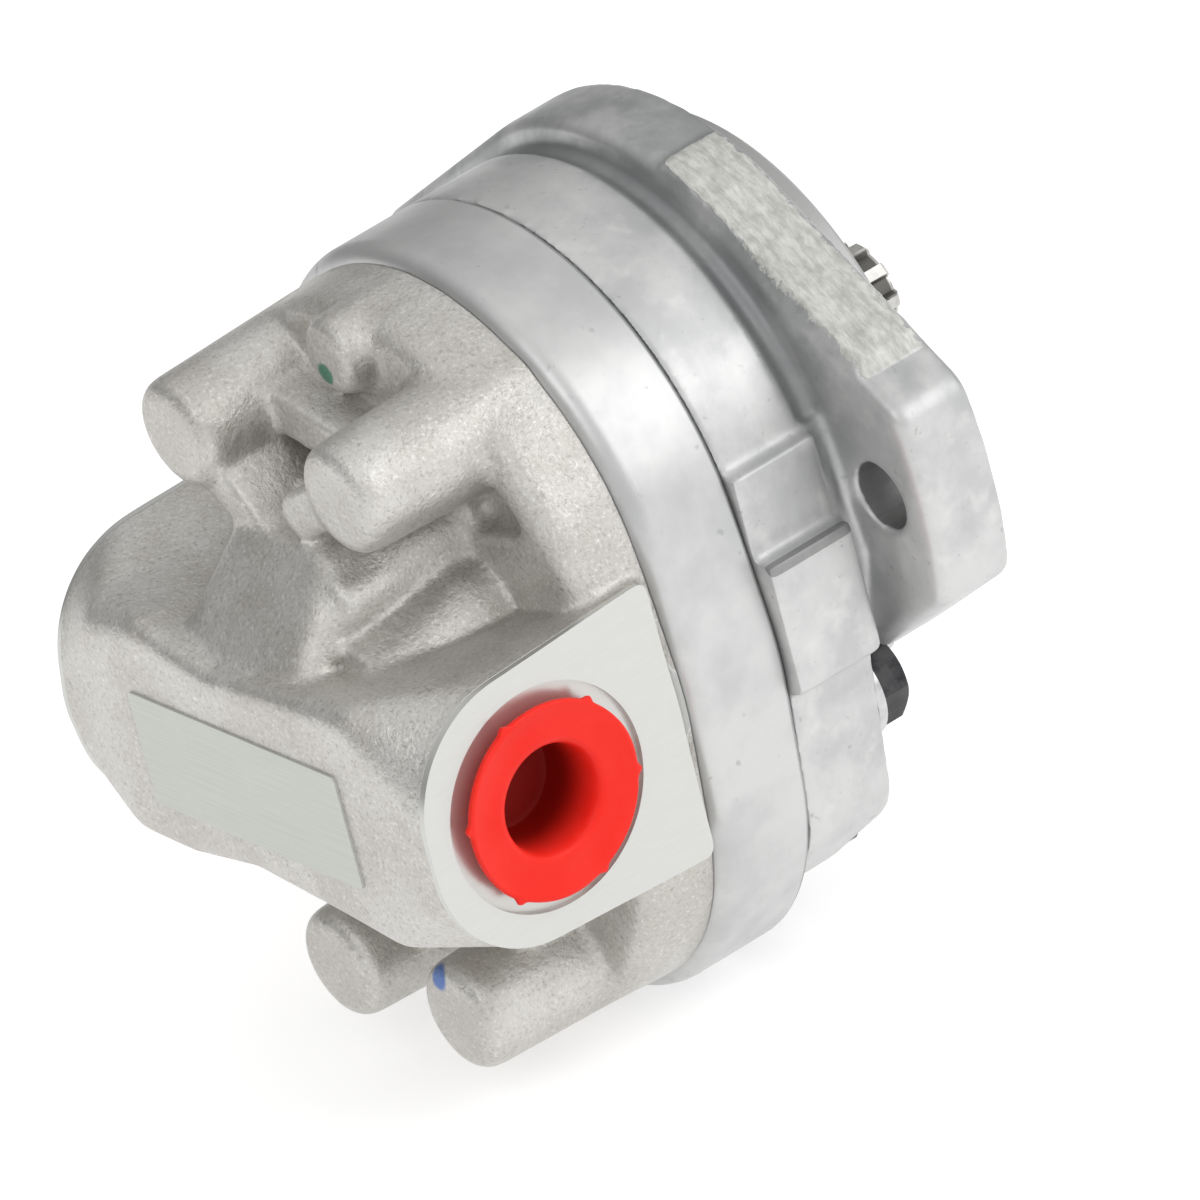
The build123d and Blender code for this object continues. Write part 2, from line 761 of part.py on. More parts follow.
with BuildPart() as seal_retaining_ring:
    with BuildSketch(at_depth(ring_front_depth)):
        Circle(ring_groove_radius)
        Circle(ring_groove_radius - ring_radial_width, mode=Mode.SUBTRACT)
        with Locations((0, -ring_groove_radius)):
            Rectangle(ring_gap_width, 4 * ring_radial_width, mode=Mode.SUBTRACT)
    extrude(amount=ring_width)
seal_retaining_ring.part.label = "seal_retaining_ring"
export_step(seal_retaining_ring.part, "parts/seal_retaining_ring.step")


# Socket-head screws inside the pilot
with BuildPart() as socket_head_screws:
    with BuildSketch(at_depth(socket_head_depth)):
        with Locations(*mirrored(upper_screws)):
            Circle(socket_head_radius)
    extrude(amount=socket_head_height)
    for screw in upper_screws:
        with BuildSketch(at_depth(socket_seat_depth)):
            with Locations(*mirrored([screw])):
                Circle(screw_radius)
        extrude(amount=screw[2] - socket_seat_depth)
    with BuildSketch(at_depth(socket_head_depth)):
        with Locations(*mirrored(upper_screws)):
            RegularPolygon(socket_across_flats / 2, 6, major_radius=False)
    extrude(amount=socket_depth, mode=Mode.SUBTRACT)
socket_head_screws.part.label = "socket_head_screws"
export_step(socket_head_screws.part, "parts/socket_head_screws.step")


# Hex-head screws on the lower face, and their washers
washer_front = lower_face_depth - washer_thickness
with BuildPart() as hex_head_screws:
    with BuildSketch(at_depth(washer_front - hex_head_height)):
        with Locations(*mirrored(lower_screws)):
            RegularPolygon(hex_across_flats / 2, 6, major_radius=False)
    extrude(amount=hex_head_height)
    with BuildSketch(at_depth(washer_front - hex_head_height)):
        with Locations(*mirrored(lower_screws)):
            Circle(hex_across_flats / 2 - hex_corner_chamfer)
    extrude(amount=hex_head_height, taper=-hex_corner_slope, mode=Mode.INTERSECT)
    for screw in lower_screws:
        with BuildSketch(at_depth(washer_front)):
            with Locations(*mirrored([screw])):
                Circle(screw_radius)
        extrude(amount=screw[2] - washer_front)
hex_head_screws.part.label = "hex_head_screws"
export_step(hex_head_screws.part, "parts/hex_head_screws.step")

with BuildPart() as screw_washers:
    with BuildSketch(at_depth(washer_front)):
        with Locations(*mirrored(lower_screws)):
            Circle(washer_radius)
        with Locations(*mirrored(lower_screws)):
            Circle(screw_radius + washer_bore_clearance, mode=Mode.SUBTRACT)
    extrude(amount=washer_thickness)
screw_washers.part.label = "screw_washers"
export_step(screw_washers.part, "parts/screw_washers.step")


# Dowel pins through the housing into both covers
with BuildPart() as dowel_pins:
    with BuildSketch(at_depth(dowel_start)):
        with Locations(*dowel_points):
            Circle(dowel_radius)
    extrude(amount=dowel_end - dowel_start)
dowel_pins.part.label = "dowel_pins"
export_step(dowel_pins.part, "parts/dowel_pins.step")


# Plastic plugs in the ports: a hollow shank under a flange that stands on the spot face
for plug_name, (side, bore_radius, spot_radius) in zip(("outlet_plug", "inlet_plug"), port_sizes):
    spot_x = pad_x - spot_depth
    shank_radius = bore_radius - plug_shank_clearance
    flange_radius_of_plug = spot_radius - plug_flange_margin
    hollow_radius = shank_radius - plug_wall
    rim_x = spot_x + plug_flange_thickness
    end_x = spot_x - plug_shank_length
    with BuildPart() as plug:
        with BuildSketch(Plane.XY.offset(port_z)):
            with BuildLine():
                Polyline((side * end_x, -port_depth), (side * end_x, shank_radius - port_depth),
                         (side * spot_x, shank_radius - port_depth),
                         (side * spot_x, flange_radius_of_plug - port_depth),
                         (side * rim_x, flange_radius_of_plug - port_depth),
                         (side * rim_x, hollow_radius - port_depth),
                         (side * (end_x + plug_floor), hollow_radius - port_depth),
                         (side * (end_x + plug_floor), -port_depth), close=True)
            make_face()
        revolve(axis=Axis((0, -port_depth, port_z), (1, 0, 0)))
        fillet(faces().filter_by(Axis.X).sort_by(Axis.X)[-1 if side > 0 else 0].edges(), plug_rim_round)
    plug.part.label = plug_name
    export_step(plug.part, "parts/" + plug_name + ".step")


# Name plate, bare, on the rear face
with BuildPart() as name_plate:
    with BuildSketch(at_depth(rear_face_depth)):
        with Locations((0, plate_z)):
            RectangleRounded(plate_width, plate_height, plate_corner_radius)
    extrude(amount=plate_thickness)
name_plate.part.label = "name_plate"
export_step(name_plate.part, "parts/name_plate.step")
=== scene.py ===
import json
import math

import bmesh
import bpy
import numpy as np
from mathutils import Matrix, Vector
from mathutils import noise as perlin


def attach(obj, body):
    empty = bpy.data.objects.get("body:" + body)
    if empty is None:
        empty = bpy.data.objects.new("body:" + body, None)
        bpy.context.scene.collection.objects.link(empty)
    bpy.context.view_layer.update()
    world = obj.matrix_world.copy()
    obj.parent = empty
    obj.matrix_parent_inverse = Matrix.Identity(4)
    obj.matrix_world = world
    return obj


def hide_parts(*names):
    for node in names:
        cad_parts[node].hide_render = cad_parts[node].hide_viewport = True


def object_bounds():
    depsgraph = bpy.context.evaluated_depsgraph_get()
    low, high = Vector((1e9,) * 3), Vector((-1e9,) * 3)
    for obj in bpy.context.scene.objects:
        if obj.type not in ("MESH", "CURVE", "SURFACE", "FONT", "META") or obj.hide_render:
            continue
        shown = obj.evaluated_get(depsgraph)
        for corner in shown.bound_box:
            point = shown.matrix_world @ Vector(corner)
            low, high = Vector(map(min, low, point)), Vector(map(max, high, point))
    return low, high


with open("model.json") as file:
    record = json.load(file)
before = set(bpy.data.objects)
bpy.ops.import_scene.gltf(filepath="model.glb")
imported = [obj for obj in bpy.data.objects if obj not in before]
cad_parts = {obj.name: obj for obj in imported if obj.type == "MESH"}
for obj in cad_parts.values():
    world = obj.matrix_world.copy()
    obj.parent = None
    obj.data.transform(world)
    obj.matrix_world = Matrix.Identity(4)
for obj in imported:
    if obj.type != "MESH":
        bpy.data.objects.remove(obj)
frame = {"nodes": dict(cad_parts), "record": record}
cad_low, cad_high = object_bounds()
scene = bpy.context.scene
scene.view_settings.view_transform = "Standard"

MM = 0.001

# Camera at the photograph's angle
RIGHT = Vector((0.6080, 0.7604, -0.2283))
UP = Vector((-0.2469, 0.4544, 0.8559))
BACK = Vector((0.7546, -0.4640, 0.4640))
TARGET = Vector((-3.13, -30.04, -24.94)) * MM
DISTANCE = 3.3333

camera_data = bpy.data.cameras.new("camera")
camera = bpy.data.objects.new("camera", camera_data)
scene.collection.objects.link(camera)
scene.camera = camera
camera_data.sensor_width = 36.0
camera_data.lens = 670.35
camera_data.clip_start = 0.1
camera_data.clip_end = 30.0
turn = Matrix((RIGHT, UP, BACK)).transposed().to_4x4()
camera.matrix_world = Matrix.Translation(TARGET + BACK * DISTANCE) @ turn

# Sizes of the CAD part that the looks refer to, in mm. Both joints and the ports lie behind the flange face,
# and the pads and the spot faces lie out along X
JOINT_FRONT = 33.0
JOINT_REAR = 50.0
AXIS_DISTANCE = 35.0
PILOT_RADIUS = 41.275
PILOT_HEIGHT = 6.35
BOLT_X = 53.19
BOLT_HOLE_RADIUS = 5.55
PORT_DEPTH = 77.7
PORT_Z = -19.3
PAD_X = 46.0
SPOT_X = 45.0
BUSH_SEAT_RADIUS = 13.54
PASSAGE_RADIUS = 5.0
HEAD_POCKET_RADIUS = 6.9
CLEARANCE_HOLE_RADIUS = 4.4
TAPPED_HOLE_RADIUS = 4.05
DOWEL_HOLE_RADIUS = 3.01
PLUG_CLEARANCE = 0.3
PLUG_WALL = 1.4

# Places of the holes along Y, as X and Z
GEAR_AXES = [(0, 0), (0, -AXIS_DISTANCE)]
PASSAGES = [(15.5, -AXIS_DISTANCE / 2), (-15.5, -AXIS_DISTANCE / 2)]
TOP_SCREWS = [(20.0, 26.5), (-20.0, 26.5)]
SHOULDER_SCREWS = [(33.0, 4.0), (-33.0, 4.0)]
WAIST_SCREWS = [(36.0, -36.5), (-36.0, -36.5)]
FOOT_SCREWS = [(15.0, -64.0), (-15.0, -64.0)]
DOWELS = [(0.0, 36.5), (0.0, -71.5)]

# The two ports along X: side, radius of the bore and radius of the spot face
PORTS = [(1, 10.3, 17.8), (-1, 12.6, 20.4)]


def plug_hollow(bore):
    """Radius of the hollow in a port's plug."""
    return bore - PLUG_CLEARANCE - PLUG_WALL


# Node helpers: a value is a number, a colour or the output of another node
def new_material(name):
    material = bpy.data.materials.new(name)
    material.use_nodes = True
    tree = material.node_tree
    tree.nodes.clear()
    return material, tree


def feed(tree, value, socket):
    """Sets a socket to a number or a colour, or links it to an output."""
    if isinstance(value, (int, float)):
        socket.default_value = value
    elif isinstance(value, tuple):
        socket.default_value = (*value, 1.0)
    else:
        tree.links.new(value, socket)


def add_node(tree, kind, **values):
    """New node; a key that starts with in_ names one of its inputs."""
    made = tree.nodes.new(kind)
    for key, value in values.items():
        if key.startswith("in_"):
            made.inputs[key[3:].replace("_", " ")].default_value = value
        else:
            setattr(made, key, value)
    return made


def math_node(tree, operation, *values):
    made = add_node(tree, "ShaderNodeMath", operation=operation)
    for index, value in enumerate(values):
        feed(tree, value, made.inputs[index])
    return made.outputs[0]


def plus(tree, first, second):
    return math_node(tree, "ADD", first, second)


def minus(tree, first, second):
    return math_node(tree, "SUBTRACT", first, second)


def times(tree, first, second):
    return math_node(tree, "MULTIPLY", first, second)


def scaled(tree, source, factor, offset):
    return plus(tree, times(tree, source, factor), offset)


def off_axis(tree, first, second):
    """Distance from an axis, from the two coordinates across it."""
    return math_node(tree, "SQRT", plus(tree, times(tree, first, first), times(tree, second, second)))


def mix_color(tree, factor, first, second):
    made = add_node(tree, "ShaderNodeMix", data_type="RGBA")
    feed(tree, factor, made.inputs[0])
    feed(tree, first, made.inputs[6])
    feed(tree, second, made.inputs[7])
    return made.outputs[2]


def tint(tree, base, color, mask, strength):
    """Draws the base towards a colour where the mask is 1."""
    return mix_color(tree, times(tree, mask, strength), base, color)


def ramp(tree, source, low, high):
    """0 at low and 1 at high, smooth in between."""
    made = add_node(tree, "ShaderNodeMapRange", interpolation_type="SMOOTHSTEP")
    made.inputs["From Min"].default_value = low
    made.inputs["From Max"].default_value = high
    feed(tree, source, made.inputs["Value"])
    return made.outputs["Result"]


def ramp_mm(tree, source, low, high):
    return ramp(tree, source, low * MM, high * MM)


def band(tree, source, start, full_from, full_to, end):
    """1 between the inner two of four places in mm, and 0 past the outer two."""
    return times(tree, ramp_mm(tree, source, start, full_from), ramp_mm(tree, source, end, full_to))


def noise(tree, coords, scale, detail=3.0, rough=0.5):
    made = add_node(tree, "ShaderNodeTexNoise", in_Scale=scale, in_Detail=detail, in_Roughness=rough)
    feed(tree, coords, made.inputs["Vector"])
    return made.outputs["Fac"]


def drawn_noise(tree, coords, scales, detail, rough=0.5):
    """Noise with a scale of its own along each axis."""
    made = add_node(tree, "ShaderNodeMapping")
    made.inputs["Scale"].default_value = scales
    feed(tree, coords, made.inputs["Vector"])
    return noise(tree, made.outputs["Vector"], 1.0, detail, rough)


def object_coords(tree):
    return add_node(tree, "ShaderNodeTexCoord").outputs["Object"]


def split(tree, coords):
    """The X, Y and Z of a place."""
    made = add_node(tree, "ShaderNodeSeparateXYZ")
    feed(tree, coords, made.inputs[0])
    return made.outputs[0], made.outputs[1], made.outputs[2]


def near(tree, coords, point, radius, edge):
    """1 inside a ball round a point in mm, 0 outside it."""
    made = add_node(tree, "ShaderNodeVectorMath", operation="DISTANCE")
    made.inputs[1].default_value = tuple(value * MM for value in point)
    feed(tree, coords, made.inputs[0])
    return ramp_mm(tree, made.outputs["Value"], radius, radius - edge)


def bumps(tree, layers):
    """Chain of bump nodes: each layer is a height, a strength and a distance in mm."""
    normal = None
    for height, strength, distance in layers:
        made = add_node(tree, "ShaderNodeBump", in_Strength=strength, in_Distance=distance * MM)
        feed(tree, height, made.inputs["Height"])
        if normal is not None:
            feed(tree, normal, made.inputs["Normal"])
        normal = made.outputs["Normal"]
    return normal


def surface(tree, color, roughness, normal, metallic=0.0, **fixed):
    shader = add_node(tree, "ShaderNodeBsdfPrincipled", in_Metallic=metallic)
    for key, value in fixed.items():
        shader.inputs[key.replace("_", " ")].default_value = value
    feed(tree, color, shader.inputs["Base Color"])
    feed(tree, roughness, shader.inputs["Roughness"])
    feed(tree, normal, shader.inputs["Normal"])
    out = add_node(tree, "ShaderNodeOutputMaterial")
    feed(tree, shader.outputs[0], out.inputs["Surface"])


def mix_shader(tree, factor, first, second):
    made = add_node(tree, "ShaderNodeMixShader")
    for index, value in enumerate((factor, first, second)):
        feed(tree, value, made.inputs[index])
    return made.outputs[0]


# Materials
def sand_cast():
    """Sand-cast aluminium of the rear cover, with machined faces and two dots of paint."""
    material, tree = new_material("sand_cast_aluminium")
    coords = object_coords(tree)
    x, y, _ = split(tree, coords)
    milled = ramp_mm(tree, math_node(tree, "ABSOLUTE", x), SPOT_X - 0.15, SPOT_X - 0.05)
    joint = ramp_mm(tree, y, -(JOINT_REAR + 0.08), -(JOINT_REAR + 0.03))
    machined = math_node(tree, "MAXIMUM", milled, joint)
    blotch = noise(tree, coords, 70.0, 4.0, 0.6)
    grain = noise(tree, coords, 1500.0, 3.0, 0.7)
    pits = noise(tree, coords, 520.0, 4.0, 0.65)
    base = mix_color(tree, ramp(tree, blotch, 0.35, 0.65), (0.55, 0.53, 0.50), (0.64, 0.625, 0.60))
    base = tint(tree, base, (0.33, 0.31, 0.285), ramp(tree, grain, 0.46, 0.30), 0.6)
    base = tint(tree, base, (0.84, 0.83, 0.81), ramp(tree, grain, 0.54, 0.70), 0.6)
    # Painted shade darkens inside corners and a painted highlight brightens convex edges
    bend = add_node(tree, "ShaderNodeNewGeometry").outputs["Pointiness"]
    base = tint(tree, base, (0.30, 0.285, 0.26), ramp(tree, bend, 0.49, 0.45), 0.3)
    base = tint(tree, base, (0.86, 0.85, 0.83), ramp(tree, bend, 0.51, 0.56), 0.55)
    mill = drawn_noise(tree, coords, (200.0, 200.0, 2400.0), 2.0)
    clean = mix_color(tree, ramp(tree, mill, 0.3, 0.7), (0.61, 0.615, 0.595), (0.625, 0.63, 0.61))
    color = mix_color(tree, machined, base, clean)
    green_dot = near(tree, coords, (-1.1, -67.0, 34.0), 2.1, 0.7)
    blue_dot = near(tree, coords, (12.6, -83.0, -57.6), 2.4, 0.8)
    color = tint(tree, color, (0.03, 0.24, 0.13), green_dot, 0.85)
    color = tint(tree, color, (0.05, 0.16, 0.50), blue_dot, 0.85)
    cast_rough = scaled(tree, pits, 0.25, 0.29)
    rough = plus(tree, times(tree, minus(tree, 0.30, cast_rough), machined), cast_rough)
    height = times(tree, plus(tree, times(tree, grain, 0.6), pits), minus(tree, 1.0, machined))
    normal = bumps(tree, [(height, 0.8, 0.28), (times(tree, mill, machined), 0.08, 0.02)])
    surface(tree, color, rough, normal, metallic=0.72)
    return material


def die_cast():
    """Die-cast aluminium of the front cover, with a rough gate patch and a turned front face."""
    material, tree = new_material("die_cast_aluminium")
    coords = object_coords(tree)
    x, y, z = split(tree, coords)
    radial = off_axis(tree, x, z)
    blotch = noise(tree, coords, 55.0, 5.0, 0.62)
    cloud = noise(tree, coords, 160.0, 4.0, 0.55)
    grain = noise(tree, coords, 2400.0, 2.0, 0.6)
    specks = noise(tree, coords, 620.0, 3.0, 0.6)
    streak = drawn_noise(tree, coords, (90.0, 500.0, 90.0), 3.0)
    base = mix_color(tree, ramp(tree, blotch, 0.38, 0.66), (0.63, 0.633, 0.63), (0.51, 0.515, 0.517))
    base = tint(tree, base, (0.70, 0.70, 0.69), ramp(tree, cloud, 0.52, 0.72), 0.7)
    base = tint(tree, base, (0.34, 0.35, 0.35), ramp(tree, specks, 0.64, 0.74), 0.5)
    # Tarnish on top, behind the flange
    neck = times(tree, ramp_mm(tree, y, -24.0, -14.5), ramp_mm(tree, z, 4.0, 32.0))
    base = tint(tree, base, (0.30, 0.31, 0.315), times(tree, neck, ramp(tree, blotch, 0.25, 0.65)), 0.75)
    # Painted shade darkens the walls of the bolt holes and the groove behind the flange
    hole = off_axis(tree, minus(tree, math_node(tree, "ABSOLUTE", x), BOLT_X * MM), z)
    bolt_hole_shade = ramp_mm(tree, hole, BOLT_HOLE_RADIUS + 0.09, BOLT_HOLE_RADIUS + 0.03)
    base = tint(tree, base, (0.20, 0.20, 0.20), bolt_hole_shade, 0.7)
    groove_shade = times(tree, band(tree, y, -18.0, -16.0, -14.0, -13.3), ramp_mm(tree, radial, 46.4, 44.6))
    base = tint(tree, base, (0.22, 0.225, 0.23), groove_shade, 0.7)
    # Rough patch left by the gate
    lift = minus(tree, z, times(tree, x, 0.36))
    sector = times(tree, ramp_mm(tree, lift, 0.0, 0.6), ramp_mm(tree, x, 14.5, 16.0))
    ragged = times(tree, minus(tree, noise(tree, coords, 700.0, 4.0, 0.7), 0.5), 3.2 * MM)
    torn = band(tree, plus(tree, y, ragged), -12.4, -12.0, -1.7, -1.3)
    patch = times(tree, times(tree, sector, torn), ramp_mm(tree, radial, 48.7, 48.8))
    scrape = drawn_noise(tree, coords, (300.0, 900.0, 300.0), 5.0, 0.7)
    scraped = mix_color(tree, ramp(tree, scrape, 0.3, 0.7), (0.51, 0.51, 0.485), (0.73, 0.73, 0.705))
    base = mix_color(tree, patch, base, scraped)
    # The front face is turned, with fine rings round the shaft
    turned = ramp_mm(tree, y, -0.06, -0.02)
    rings = math_node(tree, "SINE", times(tree, radial, 14000.0))
    bright = mix_color(tree, ramp(tree, rings, -1.0, 1.0), (0.40, 0.40, 0.40), (0.46, 0.46, 0.46))
    color = mix_color(tree, turned, base, bright)
    rough = plus(tree, scaled(tree, blotch, 0.22, 0.33), times(tree, patch, 0.25))
    normal = bumps(tree, [(streak, 0.15, 0.25), (grain, 0.2, 0.04), (times(tree, scrape, patch), 0.45, 0.5),
                          (specks, 0.15, 0.15), (times(tree, rings, turned), 0.1, 0.02)])
    surface(tree, color, rough, normal, metallic=0.78)
    return material


def housing_metal():
    """Smooth aluminium of the gear housing, darker along its front joint."""
    material, tree = new_material("housing_aluminium")
    coords = object_coords(tree)
    _, y, _ = split(tree, coords)
    blotch = noise(tree, coords, 60.0, 4.0, 0.6)
    grain = noise(tree, coords, 2200.0, 2.0, 0.6)
    dents = noise(tree, coords, 420.0, 2.0, 0.4)
    drawn = drawn_noise(tree, coords, (60.0, 1200.0, 60.0), 2.0)
    base = mix_color(tree, ramp(tree, blotch, 0.35, 0.68), (0.62, 0.622, 0.62), (0.52, 0.525, 0.527))
    base = tint(tree, base, (0.36, 0.37, 0.37), ramp(tree, dents, 0.70, 0.80), 0.6)
    nicks = drawn_noise(tree, coords, (150.0, 90.0, 150.0), 3.0, 0.6)
    edge = ramp_mm(tree, y, -(JOINT_FRONT + 1.0), -(JOINT_FRONT + 0.5))
    base = mix_color(tree, times(tree, edge, scaled(tree, nicks, 0.6, 0.35)), base, (0.17, 0.172, 0.172))
    normal = bumps(tree, [(drawn, 0.08, 0.1), (grain, 0.15, 0.04), (dents, 0.12, 0.25)])
    surface(tree, base, scaled(tree, blotch, 0.2, 0.30), normal, metallic=0.78)
    return material


def steel(name, first, second, roughness, spline=False):
    """Machined metal between two colours, with painted shade in the spline's gaps if it has one."""
    material, tree = new_material(name)
    coords = object_coords(tree)
    blotch = noise(tree, coords, 260.0, 3.0, 0.6)
    fine = drawn_noise(tree, coords, (500.0, 4000.0, 500.0), 2.0)
    color = mix_color(tree, ramp(tree, blotch, 0.35, 0.65), first, second)
    rough = scaled(tree, blotch, 0.18, roughness - 0.09)
    if spline:
        x, y, z = split(tree, coords)
        # Painted shade darkens the gaps between the spline's teeth
        gap_shade = ramp_mm(tree, off_axis(tree, x, z), 7.7, 7.2)
        gap_shade = times(tree, gap_shade, band(tree, y, 5.0, 6.0, 27.6, 27.9))
        color = tint(tree, color, (0.10, 0.095, 0.085), gap_shade, 0.85)
        rough = plus(tree, rough, times(tree, gap_shade, 0.25))
    normal = bumps(tree, [(fine, 0.12, 0.03), (blotch, 0.08, 0.05)])
    surface(tree, color, rough, normal, metallic=1.0)
    return material


def rubber():
    material, tree = new_material("seal_rubber")
    coords = object_coords(tree)
    blotch = noise(tree, coords, 300.0, 3.0)
    grain = noise(tree, coords, 3500.0, 2.0)
    color = mix_color(tree, blotch, (0.018, 0.018, 0.019), (0.032, 0.032, 0.033))
    surface(tree, color, scaled(tree, blotch, 0.2, 0.5), bumps(tree, [(grain, 0.2, 0.03)]))
    return material


def plastic():
    """Red plastic of the plugs, with painted shade in the hollow that grows darker the deeper it goes."""
    material, tree = new_material("red_plastic")
    coords = object_coords(tree)
    x, y, z = split(tree, coords)
    blotch = noise(tree, coords, 110.0, 3.0)
    grain = noise(tree, coords, 1800.0, 2.0)
    color = mix_color(tree, ramp(tree, blotch, 0.3, 0.7), (0.97, 0.024, 0.014), (1.0, 0.036, 0.024))
    off_port = off_axis(tree, plus(tree, y, PORT_DEPTH * MM), minus(tree, z, PORT_Z * MM))
    near_hollow, far_hollow = [plug_hollow(bore) + 0.05 for side, bore, spot in PORTS]
    on_near_side = math_node(tree, "GREATER_THAN", x, 0.0)
    hollow = scaled(tree, on_near_side, (near_hollow - far_hollow) * MM, far_hollow * MM)
    inside = math_node(tree, "LESS_THAN", off_port, hollow)
    # Painted shade inside the plug's hollow, darker the deeper it goes
    hollow_shade = times(tree, inside, ramp_mm(tree, math_node(tree, "ABSOLUTE", x), 46.6, 38.5))
    color = tint(tree, color, (0.17, 0.004, 0.002), hollow_shade, 0.9)
    normal = bumps(tree, [(grain, 0.08, 0.03), (blotch, 0.1, 0.3)])
    surface(tree, color, scaled(tree, blotch, 0.15, 0.33), normal,
            Subsurface_Weight=0.15, Subsurface_Scale=0.0015, Specular_IOR_Level=0.2)
    return material


def plate_film():
    """Brushed film of the bare plate on the rear face."""
    material, tree = new_material("plate_film")
    coords = object_coords(tree)
    brushed = drawn_noise(tree, coords, (60.0, 60.0, 3200.0), 2.0)
    blotch = noise(tree, coords, 90.0, 3.0)
    color = mix_color(tree, ramp(tree, brushed, 0.3, 0.7), (0.60, 0.62, 0.575), (0.655, 0.67, 0.63))
    color = tint(tree, color, (0.70, 0.71, 0.68), ramp(tree, blotch, 0.55, 0.75), 0.3)
    normal = bumps(tree, [(brushed, 0.06, 0.02), (blotch, 0.1, 0.1)])
    surface(tree, color, scaled(tree, brushed, 0.12, 0.34), normal, metallic=0.35)
    return material


materials = {
    "sand_cast_aluminium": sand_cast(),
    "die_cast_aluminium": die_cast(),
    "housing_aluminium": housing_metal(),
    "gear_steel": steel("gear_steel", (0.42, 0.41, 0.40), (0.56, 0.55, 0.53), 0.30, spline=True),
    "bearing_bronze": steel("bearing_bronze", (0.60, 0.40, 0.20), (0.72, 0.52, 0.28), 0.32),
    "seal_rubber": rubber(),
    "black_steel": steel("black_steel", (0.025, 0.025, 0.027), (0.06, 0.06, 0.062), 0.38),
    "plain_steel": steel("plain_steel", (0.50, 0.50, 0.51), (0.62, 0.62, 0.62), 0.30),
    "red_plastic": plastic(),
    "plate_film": plate_film(),
}
node_slots = {row["node"]: row["material_slot"] for row in frame["record"]["subparts"]}
for node, obj in frame["nodes"].items():
    obj.data.materials.clear()
    obj.data.materials.append(materials[node_slots[node]])


# Closed shapes, with all sizes in mm
def circle(radius, steps):
    """Points round a circle, as pairs."""
    angles = [2 * math.pi * step / steps for step in range(steps)]
    return [(radius * math.cos(angle), radius * math.sin(angle)) for angle in angles]


def skin(rings):
    """Closed skin over rings of points, with a flat face at each end."""
    bm = bmesh.new()
    made = [[bm.verts.new(Vector(point) * MM) for point in ring] for ring in rings]
    for first, second in zip(made, made[1:]):
        for index in range(len(first)):
            after = (index + 1) % len(first)
            bm.faces.new((first[index], first[after], second[after], second[index]))
    bm.faces.new(made[0][::-1])
    bm.faces.new(made[-1])
    bmesh.ops.recalc_face_normals(bm, faces=bm.faces)
    return bm


def along_x(centre, radius, start, end, steps):
    """Cylinder along X; centre is its Y and Z."""
    points = circle(radius, steps)
    return skin([[(at, centre[0] + a, centre[1] + b) for a, b in points] for at in (start, end)])


def along_y(centre, radius, start, end, steps):
    """Cylinder along Y; centre is its X and Z."""
    points = circle(radius, steps)
    return skin([[(centre[0] + a, at, centre[1] + b) for a, b in points] for at in (start, end)])


def row_along_y(centres, radius, start, end, steps):
    return [along_y(centre, radius, start, end, steps) for centre in centres]


def block(low, high):
    bm = bmesh.new()
    bmesh.ops.create_cube(bm, size=1.0)
    for vert in bm.verts:
        vert.co = Vector([(low[i] + high[i]) / 2 + (high[i] - low[i]) * vert.co[i] for i in range(3)]) * MM
    return bm


def oval(radius, start, end, steps=48):
    """Oval round both gear axes, between two depths."""
    outline = []
    for first_angle, centre_z in ((0.0, 0.0), (math.pi, -AXIS_DISTANCE)):
        for step in range(steps + 1):
            angle = first_angle + math.pi * step / steps
            outline.append((radius * math.cos(angle), centre_z + radius * math.sin(angle)))
    return skin([[(x, -depth, z) for x, z in outline] for depth in (start, end)])


def chamfered_disc(radius, start, end, chamfer, steps=160):
    """Disc along Y with a chamfer round its far end."""
    profile = ((start, radius), (end - chamfer, radius), (end, radius - chamfer))
    return skin([[(x, at, z) for x, z in circle(ring_radius, steps)] for at, ring_radius in profile])


def bent_bar(radius, depth, bar_radius, start, end, steps=90, sides=16):
    """Round bar bent round the shaft axis between two angles in degrees."""
    rings = []
    for step in range(steps + 1):
        angle = math.radians(start + (end - start) * step / steps)
        ring = []
        for across, along in circle(bar_radius, sides):
            reach = radius + across
            ring.append((reach * math.cos(angle), -depth + along, reach * math.sin(angle)))
        rings.append(ring)
    return skin(rings)


# Mesh helpers
def merge(mesh, parts):
    """Adds closed shapes to a mesh."""
    whole = bmesh.new()
    whole.from_mesh(mesh)
    for part in parts:
        temp = bpy.data.meshes.new("part")
        part.to_mesh(temp)
        part.free()
        whole.from_mesh(temp)
        bpy.data.meshes.remove(temp)
    whole.to_mesh(mesh)
    whole.free()


def mesh_object(name, part):
    """Object from one closed shape."""
    mesh = bpy.data.meshes.new(name)
    merge(mesh, [part])
    obj = bpy.data.objects.new(name, mesh)
    scene.collection.objects.link(obj)
    return obj


def apply_modifiers(obj):
    """Bakes the object's modifiers into its mesh."""
    bpy.context.view_layer.update()
    graph = bpy.context.evaluated_depsgraph_get()
    mesh = bpy.data.meshes.new_from_object(obj.evaluated_get(graph))
    old = obj.data
    obj.modifiers.clear()
    obj.data = mesh
    bpy.data.meshes.remove(old)


def cut(obj, parts):
    """Takes each closed shape out of the object."""
    for part in parts:
        tool = mesh_object("tool", part)
        modifier = obj.modifiers.new("cut", "BOOLEAN")
        modifier.operation = "DIFFERENCE"
        modifier.solver = "MANIFOLD"
        modifier.object = tool
        apply_modifiers(obj)
        bpy.data.objects.remove(tool)


def remesh(obj, voxel):
    modifier = obj.modifiers.new("remesh", "REMESH")
    modifier.mode = "VOXEL"
    modifier.voxel_size = voxel * MM
    apply_modifiers(obj)


